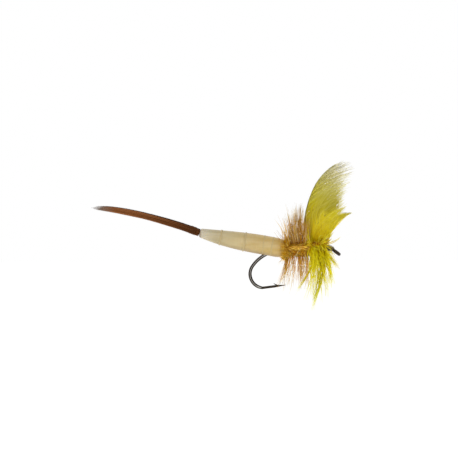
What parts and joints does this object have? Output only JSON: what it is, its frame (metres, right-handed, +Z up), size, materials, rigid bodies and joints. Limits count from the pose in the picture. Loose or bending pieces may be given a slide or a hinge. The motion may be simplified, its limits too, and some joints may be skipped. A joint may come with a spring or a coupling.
{
  "type": "dry fly",
  "caption": "Floating fishing fly on a down-eye hook: detached ivory body, brown fibre tail, upright olive-yellow feather wings and two stiff hackles.",
  "frame": {"origin": "centre of the hook eye, where the fishing line ties on", "axes": "+X forward, from the tail to the eye and head; +Z up, the way the wings stand; +Y the fly's left side"},
  "size_m": [0.049, 0.0186, 0.028],
  "materials": {
    "bronzed_steel": "bronzed, polished",
    "olive_thread": "waxed tying thread",
    "cream_thread": "waxed tying thread",
    "brown_thread": "waxed tying thread",
    "monofilament": "clear nylon line",
    "underbody_floss": "floss",
    "ivory_skin": "translucent wound strip",
    "brown_fibre": "feather fibre",
    "gold_dubbing": "fur dubbing",
    "ginger_hackle": "cock hackle",
    "yellow_hackle": "dyed cock hackle",
    "yellow_feather": "dyed feather",
    "feather_stem": "feather quill",
    "head_varnish": "clear varnish"
  },
  "bodies": {
    "hook_body": {"hook": "bronzed_steel", "thread_base": "olive_thread", "lashing_wraps": "cream_thread", "core_front": "monofilament", "abdomen_skin_front": "ivory_skin", "underbody_front": "underbody_floss", "rib_3": "cream_thread", "rib_4": "cream_thread", "thorax_dubbing": "gold_dubbing", "wing_post_wraps": "olive_thread", "ginger_hackle": "ginger_hackle", "yellow_hackle": "yellow_hackle", "gold_strand": "gold_dubbing", "head_wraps": "olive_thread", "head_varnish": "head_varnish"},
    "abdomen": {"abdomen_skin_rear": "ivory_skin", "core_rear": "monofilament", "underbody_rear": "underbody_floss", "rib_1": "cream_thread", "rib_2": "cream_thread"},
    "tail": {"tail_fibre_1": "brown_fibre", "tail_fibre_2": "brown_fibre", "tail_fibre_3": "brown_fibre", "tail_fibre_4": "brown_fibre", "tail_fibre_5": "brown_fibre", "tail_fibre_6": "brown_fibre", "tail_fibre_7": "brown_fibre", "tail_binding": "brown_thread"},
    "left_wing": {"left_wing_stem": "feather_stem", "left_wing_vane": "yellow_feather"},
    "right_wing": {"right_wing_stem": "feather_stem", "right_wing_vane": "yellow_feather"}
  },
  "joints": [
    {"name": "abdomen_flex", "type": "hinge", "parent": "hook_body", "child": "abdomen", "pos_m": [-0.01604, 0, 0.00175], "axis": [0, 1, 0], "range_deg": [-12, 15], "stiffness_Nm_per_rad": 0.0006},
    {"name": "tail_flex", "type": "hinge", "parent": "abdomen", "child": "tail", "pos_m": [-0.02595, 0, 0.0037], "axis": [0, 1, 0], "range_deg": [-18, 18], "stiffness_Nm_per_rad": 0.0001},
    {"name": "left_wing_flex", "type": "hinge", "parent": "hook_body", "child": "left_wing", "pos_m": [-0.0039, 0, 0.002], "axis": [0, 1, 0], "range_deg": [-6, 12], "stiffness_Nm_per_rad": 0.0001},
    {"name": "right_wing_flex", "type": "hinge", "parent": "hook_body", "child": "right_wing", "pos_m": [-0.0039, 0, 0.002], "axis": [0, 1, 0], "range_deg": [-6, 12], "stiffness_Nm_per_rad": 0.0001}
  ]
}
